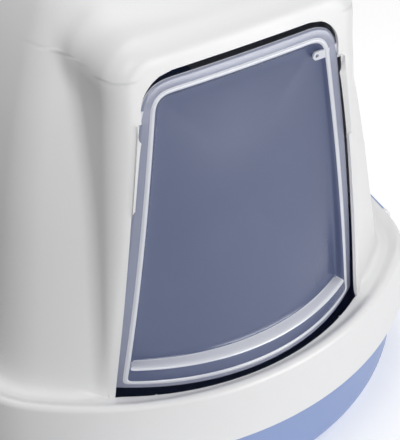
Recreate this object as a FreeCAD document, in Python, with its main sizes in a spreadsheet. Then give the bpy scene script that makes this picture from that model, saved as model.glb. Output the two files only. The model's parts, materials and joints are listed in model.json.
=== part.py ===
"""Hooded cat litter box: a tub, a lift-off hood with a swinging see-through flap, side latches,
a folding carrying handle and a vent cover that holds a carbon filter pad.

Millimetres. +X is the width, -Y the front with the doorway, +Z up. The origin is the middle of the
outer box, on the floor.
"""
import FreeCAD, Part
import math
import os

Vec = FreeCAD.Vector
doc = FreeCAD.newDocument("litter_box")

# ---------------------------------------------------------------- driving dimensions

SIZES = {
    # plan outline at the crest of the hood's flange: four tangent arcs and their mirror images
    "plan_half_width": 195,
    "plan_half_length": 270,
    "plan_front_radius": 238,
    "plan_corner_radius": 70,
    "plan_side_radius": 1140,
    "corner_keep": 0.35,
    "shell": 2.4,
    # hood
    "skirt_bottom": 62,
    "skirt_flare": 4.5,
    "crest_level": 108,
    "gutter_level": 104,
    "flange_width": 19,
    "deck_level": 400,
    "deck_inset": 134,
    # doorway
    "face_radius": 187,
    "face_low_level": 98,
    "face_low_front": -259.4,
    "face_top_level": 376,
    "face_top_front": -222,
    "face_half": 125,
    "surround_half_low": 111,
    "surround_half_high": 97.5,
    "surround_top": 373,
    "surround_corner": 32,
    "door_sill": 104,
    "door_half_low": 104.6,
    "door_half_hinge": 80.8,
    "door_half_high": 77.2,
    "door_top": 353.3,
    "door_corner": 24,
    "hinge_level": 325,
    "hinge_depth": -220.5,
    "trunnion_radius": 2,
    "bearing_inner": 78,
    "bearing_outer": 90,
    "running_gap": 0.05,
    # flap
    "flap_recess": 2.5,
    "flap_sheet": 2.2,
    "flap_tray_depth": 12,
    "flap_bottom": 107.8,
    "flap_half_low": 102,
    "flap_half_hinge": 75.3,
    "flap_top": 344.6,
    "flap_corner": 22,
    "bead_height": 1.6,
    "bead_width": 4.2,
    "bead_half_low": 92.6,
    "bead_bottom": 112,
    "tray_half_low": 91.4,
    "tray_bottom": 126,
    "panel_half_high": 67.4,
    "panel_top": 334,
    "panel_corner_low": 5,
    "panel_corner_high": 15,
    "pivot_inner": 69,
    "pivot_outer": 76.6,
    "pivot_height": 9.2,
    "pivot_front": -224.5,
    "pivot_back": -215,
    "ear_reach": 60,
    "ear_proud": 0.8,
    "ear_thick": 1.6,
    "ear_radius": 3.2,
    "ear_hole_radius": 1.3,
    # tub
    "tub_wall": 2.6,
    "tub_floor": 3,
    "tub_rim": 101.2,
    "tub_neck_inset": 9.7,
    "tub_shoulder": 60,
    # latches
    "latch_along": 130,
    "latch_width": 36,
    "latch_pivot_level": 92,
    "latch_pivot_out": 6.6,
    "latch_pin_radius": 2,
    "latch_pin_length": 36,
    "latch_barrel_radius": 4.2,
    "latch_barrel_width": 27.2,
    # carrying handle
    "handle_pivot_level": 409,
    "handle_pivot_front": -8,
    "handle_half_span": 52,
    "handle_arm_half": 44.5,
    "handle_reach": 46,
    "handle_bend": 20,
    "handle_ear_thick": 6,
    "handle_grip_radius": 6.5,
    "handle_pin_radius": 3,
    "handle_pin_length": 16,
    # vent cover and filter
    "vent_width": 92,
    "vent_length": 78,
    "vent_middle": 76,
    "vent_thickness": 3,
    "vent_gap": 0.4,
    "vent_slot_width": 4,
    "vent_slot_length": 62,
    "vent_slot_pitch": 9.5,
    "filter_width": 76,
    "filter_length": 62,
    "filter_height": 6,
    "frame_height": 6.6,
    "frame_wall": 2.2,
}

sheet = doc.addObject("Spreadsheet::Sheet", "sizes")
for row, (name, value) in enumerate(SIZES.items(), start=1):
    sheet.set("A%d" % row, name)
    sheet.set("B%d" % row, str(value))
    sheet.setAlias("B%d" % row, name)
doc.recompute()


def size(name):
    """The value of a driving dimension, read from the sheet."""
    return float(getattr(sheet, name))


def bind(feature, **expressions):
    """Ties properties of a feature to the sheet: bind(pad, Length="sizes.shell")."""
    for prop, text in expressions.items():
        feature.setExpression(prop, text)
    return feature


# ---------------------------------------------------------------- outlines and sections


def tangent_outline(points, radii):
    """Lines and arcs of a closed outline through 2-D points, each corner rounded by its radius."""
    corners = []
    count = len(points)
    for i, (point, radius) in enumerate(zip(points, radii)):
        here = Vec(point[0], point[1], 0)
        to_last = (Vec(*points[i - 1], 0) - here).normalize()
        to_next = (Vec(*points[(i + 1) % count], 0) - here).normalize()
        if radius <= 0:
            corners.append((here, None, here))
            continue
        half_angle = to_last.getAngle(to_next) / 2
        bisector = (to_last + to_next).normalize()
        centre = here + bisector * (radius / math.sin(half_angle))
        run = radius / math.tan(half_angle)
        corners.append((here + to_last * run, centre - bisector * radius, here + to_next * run))
    edges = []
    for i, (start, middle, end) in enumerate(corners):
        if middle is not None:
            edges.append(Part.Arc(start, middle, end))
        following = corners[(i + 1) % count][0]
        if end.distanceToPoint(following) > 1e-6:
            edges.append(Part.LineSegment(end, following))
    return edges


def mirrored_points(right_side):
    """A symmetrical outline from the points of its right side, listed from low to high."""
    return right_side + [(-x, z) for x, z in reversed(right_side)]


def oval_wire(inset, level):
    """The plan outline drawn inward by inset: front, corner and side arcs in tangency."""
    flange_inset = min(inset, size("flange_width"))
    beyond = inset - flange_inset
    front_radius = size("plan_front_radius") - inset
    side_radius = size("plan_side_radius") - inset
    corner_radius = size("plan_corner_radius") - flange_inset - size("corner_keep") * beyond
    front_centre = Vec(0, size("plan_front_radius") - size("plan_half_length"), 0)
    side_centre = Vec(size("plan_half_width") - size("plan_side_radius"), 0, 0)
    # the corner arc's centre is where two circles about the other centres cross
    to_front = front_radius - corner_radius
    to_side = side_radius - corner_radius
    gap = side_centre - front_centre
    along = (to_front ** 2 - to_side ** 2 + gap.Length ** 2) / (2 * gap.Length)
    across = math.sqrt(to_front ** 2 - along ** 2)
    unit = Vec(gap).normalize()
    corner_centre = front_centre + unit * along + Vec(-unit.y, unit.x, 0) * across
    front_normal = (corner_centre - front_centre).normalize()
    side_normal = (corner_centre - side_centre).normalize()
    middle_normal = (front_normal + side_normal).normalize()
    front_joint = front_centre + front_normal * front_radius
    side_joint = side_centre + side_normal * side_radius
    corner_middle = corner_centre + middle_normal * corner_radius
    front_middle = front_centre + Vec(0, -front_radius, 0)
    side_middle = side_centre + Vec(side_radius, 0, 0)

    def at(point, flip_x, flip_y):
        return Vec(point.x * flip_x, point.y * flip_y, level)

    arcs = [
        Part.Arc(at(front_joint, -1, 1), at(front_middle, 1, 1), at(front_joint, 1, 1)),
        Part.Arc(at(front_joint, 1, 1), at(corner_middle, 1, 1), at(side_joint, 1, 1)),
        Part.Arc(at(side_joint, 1, 1), at(side_middle, 1, 1), at(side_joint, 1, -1)),
        Part.Arc(at(side_joint, 1, -1), at(corner_middle, 1, -1), at(front_joint, 1, -1)),
        Part.Arc(at(front_joint, 1, -1), at(front_middle, 1, -1), at(front_joint, -1, -1)),
        Part.Arc(at(front_joint, -1, -1), at(corner_middle, -1, -1), at(side_joint, -1, -1)),
        Part.Arc(at(side_joint, -1, -1), at(side_middle, -1, 1), at(side_joint, -1, 1)),
        Part.Arc(at(side_joint, -1, 1), at(corner_middle, -1, 1), at(front_joint, -1, 1)),
    ]
    return Part.Wire([arc.toShape() for arc in arcs])


def feature_of(name, shape):
    """A plain feature that holds a computed wire or solid."""
    feature = doc.addObject("Part::Feature", name)
    feature.Shape = shape
    return feature


def loft(name, wires, ruled):
    """A solid loft through wires."""
    sections = [feature_of("%s_section_%d" % (name, i), wire) for i, wire in enumerate(wires)]
    feature = doc.addObject("Part::Loft", name)
    feature.Sections = sections
    feature.Solid = True
    feature.Ruled = ruled
    return feature


def oval_stack(name, profile):
    """A solid of straight-sided rings: profile lists (inset, level) from low to high."""
    return loft(name, [oval_wire(inset, level) for inset, level in profile], True)


def cut(name, base, tool):
    feature = doc.addObject("Part::Cut", name)
    feature.Base = base
    feature.Tool = tool
    return feature


def common(name, first, second):
    feature = doc.addObject("Part::Common", name)
    feature.Base = first
    feature.Tool = second
    return feature


def fuse(name, *features):
    feature = doc.addObject("Part::MultiFuse", name)
    feature.Shapes = list(features)
    feature.Refine = True
    return feature


def bow_depth(x):
    """How far the face's bowed foot falls back at a distance from the middle."""
    return size("face_radius") - math.sqrt(size("face_radius") ** 2 - x ** 2)


def face_front(x, z):
    """The face's y: straight lines join the bowed foot to a straight line at the top."""
    rise = (z - size("face_low_level")) / (size("face_top_level") - size("face_low_level"))
    foot_y = size("face_low_front") + bow_depth(x)
    return foot_y * (1 - rise) + size("face_top_front") * rise


def face_slab(name, front, back):
    """The space between two depths behind the doorway's face, which is bowed at the foot and flat
    at the top. Depth 0 is the face itself, and a negative depth lies in front of it."""
    half = size("face_half")
    low_front, low = size("face_low_front"), size("face_low_level")
    top_front, top = size("face_top_front"), size("face_top_level")
    wires = []
    for centre, bow, level in ((low_front, bow_depth(half), low), (top_front, 0, top)):
        near = [Vec(-half, centre + bow + front, level), Vec(0, centre + front, level),
                Vec(half, centre + bow + front, level)]
        far = [Vec(half, centre + bow + back, level), Vec(0, centre + back, level),
               Vec(-half, centre + bow + back, level)]
        rows = [Part.Arc(*row) if bow else Part.LineSegment(row[0], row[2]) for row in (near, far)]
        edges = [rows[0], Part.LineSegment(near[2], far[0]), rows[1],
                 Part.LineSegment(far[2], near[0])]
        wires.append(Part.Wire([edge.toShape() for edge in edges]))
    return loft(name, wires, True)


def upright_prism(name, outline, front=-290, back=-130):
    """An outline drawn on the front (x, z), extruded from front to back."""
    edges = [edge.toShape() for edge in outline]
    wire = Part.Wire(edges)
    wire.rotate(Vec(0, 0, 0), Vec(1, 0, 0), 90)
    wire.translate(Vec(0, front, 0))
    section = feature_of(name + "_outline", Part.Face(wire))
    feature = doc.addObject("Part::Extrusion", name)
    feature.Base = section
    feature.DirMode = "Custom"
    feature.Dir = Vec(0, 1, 0)
    feature.LengthFwd = back - front
    feature.Solid = True
    return feature


def side_line(level, low, high, half_low, half_high):
    """Half width of a straight tapered side at a level."""
    return half_low + (half_high - half_low) * (level - low) / (high - low)


# ---------------------------------------------------------------- hood


def surround_outline(inset, sill):
    """The raised doorway surround as seen from the front, drawn inward by inset."""
    low, top = size("door_sill"), size("surround_top") - inset
    half_low = size("surround_half_low") - inset
    half_high = size("surround_half_high") - inset
    foot = side_line(sill, low, top, half_low, half_high)
    points = mirrored_points([(foot, sill), (half_high, top)])
    radius = size("surround_corner") - inset
    return tangent_outline(points, [0, radius, radius, 0])


def door_outline():
    """The doorway: tapered sides with a step at the hinge, and a rounded head."""
    hinge_foot = size("hinge_level") - 5
    right = [
        (size("door_half_low"), size("door_sill")),
        (size("door_half_hinge"), hinge_foot),
        (size("door_half_high"), hinge_foot + 1.5),
        (size("door_half_high"), size("door_top")),
    ]
    round_head = size("door_corner")
    return tangent_outline(mirrored_points(right), [0, 0, 0, round_head, round_head, 0, 0, 0])


def make_dome(name, inset, top):
    """The upper hood: its walls lean in more and more, then roll over to a flat deck."""
    lean = [(19, 104), (25.8, 150), (33.2, 200), (41.8, 250), (53.9, 300), (67.6, 340), (81, 369)]
    roll = [(91, 384), (104, 394), (119, 399), (size("deck_inset"), 400)]
    drop = size("deck_level") - top
    wires = [oval_wire(k + inset, z) for k, z in lean]
    wires += [oval_wire(k + inset, z - drop) for k, z in roll]
    return loft(name, wires, False)


def latch_frames():
    """Where each latch sits: a placement whose X points out of the wall, and its node's suffix."""
    frames = []
    radius = size("plan_side_radius")
    tilt = math.degrees(math.asin(size("latch_along") / radius))
    centre = size("plan_half_width") - radius
    for side, side_word in ((-1, "left"), (1, "right")):
        for end, end_word in ((-1, "front"), (1, "rear")):
            turn = end * tilt if side > 0 else 180 - end * tilt
            angle = math.radians(turn)
            x = side * centre + radius * math.cos(angle)
            y = radius * math.sin(angle)
            frames.append((end_word + "_" + side_word,
                           FreeCAD.Placement(Vec(x, y, 0), FreeCAD.Rotation(Vec(0, 0, 1), turn))))
    return frames


def placed_box(name, corner, extent, placement=FreeCAD.Placement()):
    """A box from its lowest corner and its extent, in a placement's own axes."""
    feature = doc.addObject("Part::Box", name)
    feature.Length, feature.Width, feature.Height = extent
    feature.Placement = placement * FreeCAD.Placement(Vec(*corner), FreeCAD.Rotation())
    return feature


def rod(name, radius_text, length_text, placement):
    """A round bar along its placement's Z, sized from the sheet."""
    feature = doc.addObject("Part::Cylinder", name)
    bind(feature, Radius=radius_text, Height=length_text)
    feature.Placement = placement
    return feature


def along_x(start_x, y, z):
    """A placement at a point, with Z turned to point along +X."""
    return FreeCAD.Placement(Vec(start_x, y, z), FreeCAD.Rotation(Vec(0, 1, 0), 90))


def latch_ears():
    """Two ears a latch on the skirt, and the bores for its pin."""
    ears, bores = [], []
    half = size("latch_barrel_width") / 2 + 0.4
    outer = size("latch_pin_length") / 2
    level, out = size("latch_pivot_level"), size("latch_pivot_out")
    for word, frame in latch_frames():
        for i, low in enumerate((-outer, half)):
            ears.append(placed_box("ear_%s_%d" % (word, i), (0.2, low, level - 5),
                                   (out + 3.3, outer - half, 10), frame))
        pin_axis = FreeCAD.Placement(Vec(out, -outer - 1, level), FreeCAD.Rotation(Vec(1, 0, 0), -90))
        bores.append(rod("ear_bore_" + word, "sizes.latch_pin_radius",
                         "sizes.latch_pin_length + 2", frame * pin_axis))
    return ears, bores


def handle_ears():
    """Two ears on the deck for the handle's pins, and their bores."""
    y, z = size("handle_pivot_front"), size("handle_pivot_level")
    inner, thick = size("handle_half_span") + 0.5, size("handle_ear_thick")
    base = size("deck_level") - 1.5
    ears, bores = [], []
    for side in (-1, 1):
        left = inner if side > 0 else -inner - thick
        block = placed_box("handle_ear_%d" % side, (left, y - 7, base), (thick, 14, z - base))
        crown = doc.addObject("Part::Cylinder", "handle_ear_crown_%d" % side)
        crown.Radius, crown.Height = 7, thick
        crown.Placement = along_x(left, y, z)
        ears += [block, crown]
        bores.append(rod("handle_bore_%d" % side, "sizes.handle_pin_radius",
                         "sizes.handle_pin_length + 4", along_x(left - 1, y, z)))
    return ears, bores


def flap_bearings():
    """Blocks behind the doorway's face that carry the flap's trunnions, and their bores."""
    y, z = size("hinge_depth"), size("hinge_level")
    inner, outer = size("bearing_inner"), size("bearing_outer")
    front = face_front(outer, z) + size("shell") / 2
    back = y + size("trunnion_radius") + 3
    blocks, bores = [], []
    for side in (-1, 1):
        left = inner if side > 0 else -outer
        blocks.append(placed_box("bearing_%d" % side, (left, front, z - 7),
                                 (outer - inner, back - front, 14)))
        bores.append(rod("bearing_bore_%d" % side, "sizes.trunnion_radius + sizes.running_gap",
                         "sizes.bearing_outer - sizes.bearing_inner + 6", along_x(left - 3, y, z)))
    return blocks, bores


def vent_well():
    """The box under the deck that takes the filter: its block, and the spaces cut out of it."""
    top, middle = size("deck_level"), size("vent_middle")
    half_x, half_y, gap = size("vent_width") / 2, size("vent_length") / 2, size("vent_gap")
    wall, thick = 3.5, size("vent_thickness")
    chamber = size("frame_height") + 1.2
    block_low = top - thick - chamber - 2.4
    block = placed_box("well_block", (-half_x - wall, middle - half_y - wall, block_low),
                       (2 * (half_x + wall), 2 * (half_y + wall), top - block_low))
    seat = placed_box("well_seat", (-half_x - gap, middle - half_y - gap, top - thick - 0.2),
                      (2 * (half_x + gap), 2 * (half_y + gap), thick + 5))
    ledge = 4
    hollow = placed_box("well_hollow", (-half_x + ledge, middle - half_y + ledge, top - thick - chamber),
                        (2 * (half_x - ledge), 2 * (half_y - ledge), chamber + 1))
    cuts = [seat, hollow]
    slots, pitch = 7, size("vent_slot_pitch")
    for i in range(slots):
        x = (i - (slots - 1) / 2) * pitch - 2
        cuts.append(placed_box("well_slot_%d" % i, (x, middle - 27, block_low - 1), (4, 54, 6)))
    return block, cuts


def make_hood():
    """The white shell: skirt, gutter flange, leaning walls, flat deck and raised doorway."""
    shell, crest, gutter = size("shell"), size("crest_level"), size("gutter_level")
    flare, skirt, flange = size("skirt_flare"), size("skirt_bottom"), size("flange_width")
    rim_outer = oval_stack("flange_outer", [
        (-flare, skirt), (-0.6, crest - 3.5), (0.3, crest - 1.1), (2.2, crest),
        (10.5, gutter), (flange + 2, gutter + 0.2)])
    rim_inner = oval_stack("flange_inner", [
        (shell - flare, skirt), (1.8, crest - 5), (3.6, crest - 3.2),
        (9.2, gutter - shell), (flange + 2.2, gutter + 0.2 - shell)])
    dome_outer = make_dome("dome_outer", 0, size("deck_level"))
    dome_inner = make_dome("dome_inner", shell, size("deck_level") - shell)
    base_hole = oval_stack("dome_foot", [(flange + shell, gutter - 12), (flange + shell, gutter + 0.01)])
    surround = common("surround_outer", face_slab("face_zone", 0, 62),
                      upright_prism("surround_prism", surround_outline(0, gutter - 2)))
    surround_hollow = common("surround_inner", face_slab("hollow_zone", shell, 64),
                             upright_prism("hollow_prism", surround_outline(shell, gutter)))
    doorway = common("doorway", face_slab("doorway_zone", -3, 20),
                     upright_prism("doorway_prism", door_outline()))
    well, well_cuts = vent_well()
    solid = fuse("hood_solid", rim_outer, dome_outer, surround)
    hollow = fuse("hood_hollow", rim_inner, dome_inner, base_hole, surround_hollow)
    skin = cut("hood_skin", solid, hollow)
    bearings, bearing_bores = flap_bearings()
    ears, ear_bores = latch_ears()
    grips, grip_bores = handle_ears()
    whole = fuse("hood_whole", skin, well, *(bearings + ears + grips))
    open_up = fuse("hood_cuts", doorway, *(well_cuts + bearing_bores + ear_bores + grip_bores))
    return cut("hood", whole, open_up)


# ---------------------------------------------------------------- tub


def make_tub():
    """The blue tub: rounded foot, shoulder under the skirt, and a neck inside it."""
    wall, shoulder, rim = size("tub_wall"), size("tub_shoulder"), size("tub_rim")
    neck = size("tub_neck_inset")
    outside = [(20, 0), (13.6, 3.4), (8.6, 12), (5, 28), (2.6, 46), (1.6, shoulder - 1),
               (3, shoulder), (neck - 1, shoulder + 0.8), (neck, shoulder + 4), (neck, rim)]
    inside = [(22, size("tub_floor")), (15.6, 6), (11.4, 13), (7.6, 29), (5.4, 45),
              (5, shoulder - 3.4), (neck + wall - 1, shoulder - 1.6), (neck + wall, shoulder + 3),
              (neck + wall, rim + 1)]
    return cut("base_pan", oval_stack("tub_outside", outside), oval_stack("tub_inside", inside))


# ---------------------------------------------------------------- flap


def flap_outline():
    """The flap's outer edge."""
    low, top, hinge = size("flap_bottom"), size("flap_top"), size("hinge_level")
    half_low, half_hinge = size("flap_half_low"), size("flap_half_hinge")
    half_high = side_line(top, low, hinge, half_low, half_hinge)
    bend = size("flap_corner")
    return tangent_outline(mirrored_points([(half_low, low), (half_high, top)]), [1, bend, bend, 1])


def panel_outline(half_low, low, grow):
    """An outline near the flap's edge, drawn outward by grow."""
    half_high, high = size("panel_half_high") + grow, size("panel_top") + grow
    bend_low, bend_high = size("panel_corner_low") + grow, size("panel_corner_high") + grow
    points = mirrored_points([(half_low + grow, low - grow), (half_high, high)])
    return tangent_outline(points, [bend_low, bend_high, bend_high, bend_low])


def bead_outline(grow):
    """The raised bead near the flap's edge, as far out as grow."""
    return panel_outline(size("bead_half_low"), size("bead_bottom"), grow)


def tray_outline(inset):
    """The flap's sunk panel, above the finger ledge at its foot."""
    return panel_outline(size("tray_half_low"), size("tray_bottom"), -inset)


def make_flap():
    """The see-through flap: a bowed sheet with a bead, whose panel is sunk behind a finger ledge."""
    front, sheet_thick = size("flap_recess"), size("flap_sheet")
    depth = size("flap_tray_depth")
    plate = common("flap_plate", face_slab("plate_zone", front, front + sheet_thick),
                   upright_prism("plate_prism", flap_outline()))
    tray = common("flap_tray", face_slab("tray_zone", front + 0.2, front + depth + sheet_thick),
                  upright_prism("tray_prism", tray_outline(0)))
    tray_hollow = common("flap_tray_hollow", face_slab("sunk_zone", front - 4, front + depth),
                         upright_prism("sunk_prism", tray_outline(sheet_thick)))
    bead_zone = face_slab("bead_zone", front - size("bead_height"), front + 0.4)
    bead_ring = cut("bead_ring", upright_prism("bead_outer", bead_outline(size("bead_width"))),
                    upright_prism("bead_inner", bead_outline(0)))
    bead = common("flap_bead", bead_zone, bead_ring)
    top, hinge = size("flap_top"), size("hinge_level")
    nub = placed_box("flap_nub", (-3, face_front(0, top) + front, top - 2), (6, sheet_thick, 4))
    body = fuse("flap_solid", plate, tray, bead, nub)
    inner, tall = size("pivot_inner"), size("pivot_height")
    notches = [placed_box("notch_%d" % i, (left, -235, hinge - tall / 2), (20, 40, tall))
               for i, left in enumerate((-inner - 20, inner))]
    # the ear of the right pivot block lies in a shallow rebate across the bead
    ear_x, ear_back = size("ear_reach"), size("pivot_front") - size("ear_proud") + size("ear_thick")
    rebate = placed_box("ear_rebate", (ear_x, ear_back - 10, hinge - 2.8),
                        (inner + 1 - ear_x, 10.15, 7.2))
    return cut("flap_open", body, fuse("flap_cuts", tray_hollow, rebate, *notches))


def make_flap_pivot(side, word):
    """The block that fills the flap's notch, and the trunnion that it turns on."""
    y, z, tall = size("hinge_depth"), size("hinge_level"), size("pivot_height")
    inner, outer = size("pivot_inner"), size("pivot_outer")
    front, back = size("pivot_front"), size("pivot_back")
    left = inner if side > 0 else -outer
    parts = [placed_box("pivot_block_" + word, (left, front, z - tall / 2),
                        (outer - inner, back - front, tall))]
    reach = size("bearing_outer") - 2 - outer + 1
    start = outer - 1 if side > 0 else -outer + 1 - reach
    trunnion = rod("trunnion_" + word, "sizes.trunnion_radius",
                   "sizes.bearing_outer - sizes.pivot_outer - 1", along_x(start, y, z))
    parts.append(trunnion)
    if side < 0:
        return fuse("pivot_" + word, *parts)
    # the right block has a small ear with a hole in it, which reaches in over the panel
    ear_front, ear_x, thick = front - size("ear_proud"), size("ear_reach"), size("ear_thick")
    radius, ear_z = size("ear_radius"), z + 0.8
    parts.append(placed_box("ear_neck", (ear_x, ear_front, ear_z - radius),
                            (inner + 1 - ear_x, thick, 2 * radius)))
    parts.append(upright_disc("ear_head", ear_x, ear_z, radius, ear_front, thick))
    hole = upright_disc("ear_hole", ear_x, ear_z, size("ear_hole_radius"), ear_front - 2, thick + 4)
    return cut("pivot_" + word, fuse("pivot_with_ear", *parts), hole)


def upright_disc(name, x, z, radius, front, thick):
    """A disc that faces the front."""
    feature = doc.addObject("Part::Cylinder", name)
    feature.Radius, feature.Height = radius, thick
    feature.Placement = FreeCAD.Placement(Vec(x, front, z), FreeCAD.Rotation(Vec(1, 0, 0), -90))
    return feature


# ---------------------------------------------------------------- PartDesign helpers


def origin_plane(body, role):
    """One of the body's own origin planes."""
    return next(item for item in body.Origin.OriginFeatures if item.Role == role)


def sketch_on(body, role, name, edges, offset=0):
    """A sketch on an origin plane of the body, moved along the plane's normal by offset."""
    sketch = body.newObject("Sketcher::SketchObject", name)
    sketch.AttachmentSupport = [(origin_plane(body, role), "")]
    sketch.MapMode = "FlatFace"
    sketch.AttachmentOffset = FreeCAD.Placement(Vec(0, 0, offset), FreeCAD.Rotation())
    for edge in edges:
        sketch.addGeometry(edge, False)
    return sketch


def circle(x, y, radius):
    return Part.Circle(Vec(x, y, 0), Vec(0, 0, 1), radius)


def symmetric_pad(body, name, sketch, length_text):
    pad = body.newObject("PartDesign::Pad", name)
    pad.Profile = sketch
    pad.SideType = "Symmetric"
    return bind(pad, Length=length_text)


def symmetric_pocket(body, name, sketch, length_text):
    pocket = body.newObject("PartDesign::Pocket", name)
    pocket.Profile = sketch
    pocket.SideType = "Symmetric"
    return bind(pocket, Length=length_text)


# ---------------------------------------------------------------- latches


def make_latch(word, frame):
    """A snap latch: a barrel on its pin, a plate over the skirt, a nose under it, a finger lip."""
    body = doc.addObject("PartDesign::Body", "latch_" + word)
    out, level = size("latch_pivot_out"), size("latch_pivot_level")
    plate = tangent_outline(
        [(out - 1.2, level - 7), (out - 1.2, 58.4), (-0.8, 58.4), (-0.8, 55), (out - 1.2, 51.5),
         (out - 1.2, 46), (out + 5, 40), (out + 6.6, 42), (out + 2.2, 49), (out + 2.2, level - 7)],
        [0, 0.6, 0.6, 0.8, 1, 3, 0.8, 0.8, 5, 2])
    symmetric_pad(body, "plate_" + word, sketch_on(body, "XZ_Plane", "plate_sketch_" + word, plate),
                  "sizes.latch_width")
    neck = tangent_outline(
        [(out - 1.2, level - 9), (out + 2.2, level - 9), (out + 3.2, level), (out - 2.4, level)],
        [0, 0, 0, 0])
    symmetric_pad(body, "neck_" + word, sketch_on(body, "XZ_Plane", "neck_sketch_" + word, neck),
                  "sizes.latch_barrel_width")
    barrel = sketch_on(body, "XZ_Plane", "barrel_sketch_" + word,
                       [circle(out, level, size("latch_barrel_radius"))])
    symmetric_pad(body, "barrel_" + word, barrel, "sizes.latch_barrel_width")
    bore = sketch_on(body, "XZ_Plane", "bore_sketch_" + word,
                     [circle(out, level, size("latch_pin_radius") + size("running_gap"))])
    symmetric_pocket(body, "bore_" + word, bore, "sizes.latch_width + 4")
    body.Placement = frame
    return body


def make_latch_pin(word, frame):
    """The pin that a latch turns on, held in the two ears."""
    half = size("latch_pin_length") / 2
    place = FreeCAD.Placement(Vec(size("latch_pivot_out"), -half, size("latch_pivot_level")),
                              FreeCAD.Rotation(Vec(1, 0, 0), -90))
    return rod("latch_pin_" + word, "sizes.latch_pin_radius", "sizes.latch_pin_length", frame * place)


# ---------------------------------------------------------------- handle, vent cover and filter


def make_handle():
    """A bail: a round grip with two arms that end in eyes. It lies folded towards the front."""
    body = doc.addObject("PartDesign::Body", "carry_handle")
    half, reach, bend = size("handle_arm_half"), size("handle_reach"), size("handle_bend")
    corners = [Vec(-half, -4, 0), Vec(-half, -reach, 0), Vec(half, -reach, 0), Vec(half, -4, 0)]
    tangent = bend * (1 - math.sqrt(0.5))
    left_arc = Part.Arc(Vec(-half, bend - reach, 0), Vec(tangent - half, tangent - reach, 0),
                        Vec(bend - half, -reach, 0))
    right_arc = Part.Arc(Vec(half - bend, -reach, 0), Vec(half - tangent, tangent - reach, 0),
                         Vec(half, bend - reach, 0))
    path = sketch_on(body, "XY_Plane", "grip_path", [
        Part.LineSegment(corners[0], Vec(-half, bend - reach, 0)), left_arc,
        Part.LineSegment(Vec(bend - half, -reach, 0), Vec(half - bend, -reach, 0)), right_arc,
        Part.LineSegment(Vec(half, bend - reach, 0), corners[3])])
    section = sketch_on(body, "XZ_Plane", "grip_section",
                        [circle(-half, 0, size("handle_grip_radius"))], 4)
    grip = body.newObject("PartDesign::AdditivePipe", "grip")
    grip.Profile = section
    grip.Spine = (path, ["Edge%d" % (i + 1) for i in range(5)])
    eye_width = 2 * (size("handle_half_span") - half)
    for i, side in enumerate((-1, 1)):
        eye = sketch_on(body, "YZ_Plane", "eye_sketch_%d" % i,
                        [circle(0, 0, size("handle_grip_radius"))],
                        -size("handle_half_span") if side < 0 else size("handle_half_span") - eye_width)
        pad = body.newObject("PartDesign::Pad", "eye_%d" % i)
        pad.Profile = eye
        pad.Length = eye_width
    bore = sketch_on(body, "YZ_Plane", "eye_bore_sketch",
                     [circle(0, 0, size("handle_pin_radius") + size("running_gap"))])
    symmetric_pocket(body, "eye_bore", bore, "sizes.handle_half_span * 2 + 4")
    body.Placement = FreeCAD.Placement(
        Vec(0, size("handle_pivot_front"), size("handle_pivot_level")), FreeCAD.Rotation())
    return body


def make_handle_pin(side, word):
    """A pin from the outside of an ear into the handle's eye."""
    inner, thick = size("handle_half_span") + 0.5, size("handle_ear_thick")
    start = inner + thick - size("handle_pin_length") if side > 0 else -inner - thick
    return rod("handle_pin_" + word, "sizes.handle_pin_radius", "sizes.handle_pin_length",
               along_x(start, size("handle_pivot_front"), size("handle_pivot_level")))


def rectangle(width, length, radius):
    half_x, half_y = width / 2, length / 2
    return tangent_outline([(-half_x, -half_y), (half_x, -half_y), (half_x, half_y), (-half_x, half_y)],
                           [radius] * 4)


def make_vent_cover():
    """The slotted cover that drops into the deck and lifts out for a new filter."""
    body = doc.addObject("PartDesign::Body", "filter_cover")
    sketch = sketch_on(body, "XY_Plane", "cover_sketch",
                       rectangle(size("vent_width"), size("vent_length"), 0.8))
    plate = body.newObject("PartDesign::Pad", "cover_plate")
    plate.Profile = sketch
    bind(plate, Length="sizes.vent_thickness")
    slots = 9
    first = -(slots - 1) / 2 * size("vent_slot_pitch")
    half_x, half_y = size("vent_slot_width") / 2, size("vent_slot_length") / 2
    slot = tangent_outline([(first - half_x, -half_y), (first + half_x, -half_y),
                            (first + half_x, half_y), (first - half_x, half_y)], [1.9] * 4)
    opening = body.newObject("PartDesign::Pocket", "cover_slot")
    opening.Profile = sketch_on(body, "XY_Plane", "slot_sketch", slot)
    opening.Reversed = True
    bind(opening, Length="sizes.vent_thickness")
    doc.recompute()
    row = body.newObject("PartDesign::LinearPattern", "cover_slots")
    row.Originals = [opening]
    row.Direction = (opening.Profile[0], ["H_Axis"])
    row.Occurrences = slots
    row.Length = size("vent_slot_pitch") * (slots - 1)
    body.Tip = row
    body.Placement = FreeCAD.Placement(
        Vec(0, size("vent_middle"), size("deck_level") - size("vent_thickness")), FreeCAD.Rotation())
    return body


def make_filter_frame():
    """The frame under the cover that holds the filter pad's edge."""
    body = doc.addObject("PartDesign::Body", "filter_frame")
    wall = size("frame_wall")
    outer = rectangle(size("filter_width") + 2 * wall, size("filter_length") + 2 * wall, 2.4)
    inner = rectangle(size("filter_width") + 0.4, size("filter_length") + 0.4, 0.4)
    ring = body.newObject("PartDesign::Pad", "frame_ring")
    ring.Profile = sketch_on(body, "XY_Plane", "frame_sketch", outer + inner)
    ring.Reversed = True
    bind(ring, Length="sizes.frame_height")
    body.Placement = FreeCAD.Placement(
        Vec(0, size("vent_middle"), size("deck_level") - size("vent_thickness")), FreeCAD.Rotation())
    return body


def make_filter_pad():
    """The carbon filter pad, a soft block inside the frame."""
    feature = doc.addObject("Part::Box", "carbon_filter")
    bind(feature, Length="sizes.filter_width", Width="sizes.filter_length", Height="sizes.filter_height")
    top = size("deck_level") - size("vent_thickness") - 0.2
    feature.Placement = FreeCAD.Placement(
        Vec(-size("filter_width") / 2, size("vent_middle") - size("filter_length") / 2,
            top - size("filter_height")), FreeCAD.Rotation())
    return feature


# ---------------------------------------------------------------- assembly and export

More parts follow.
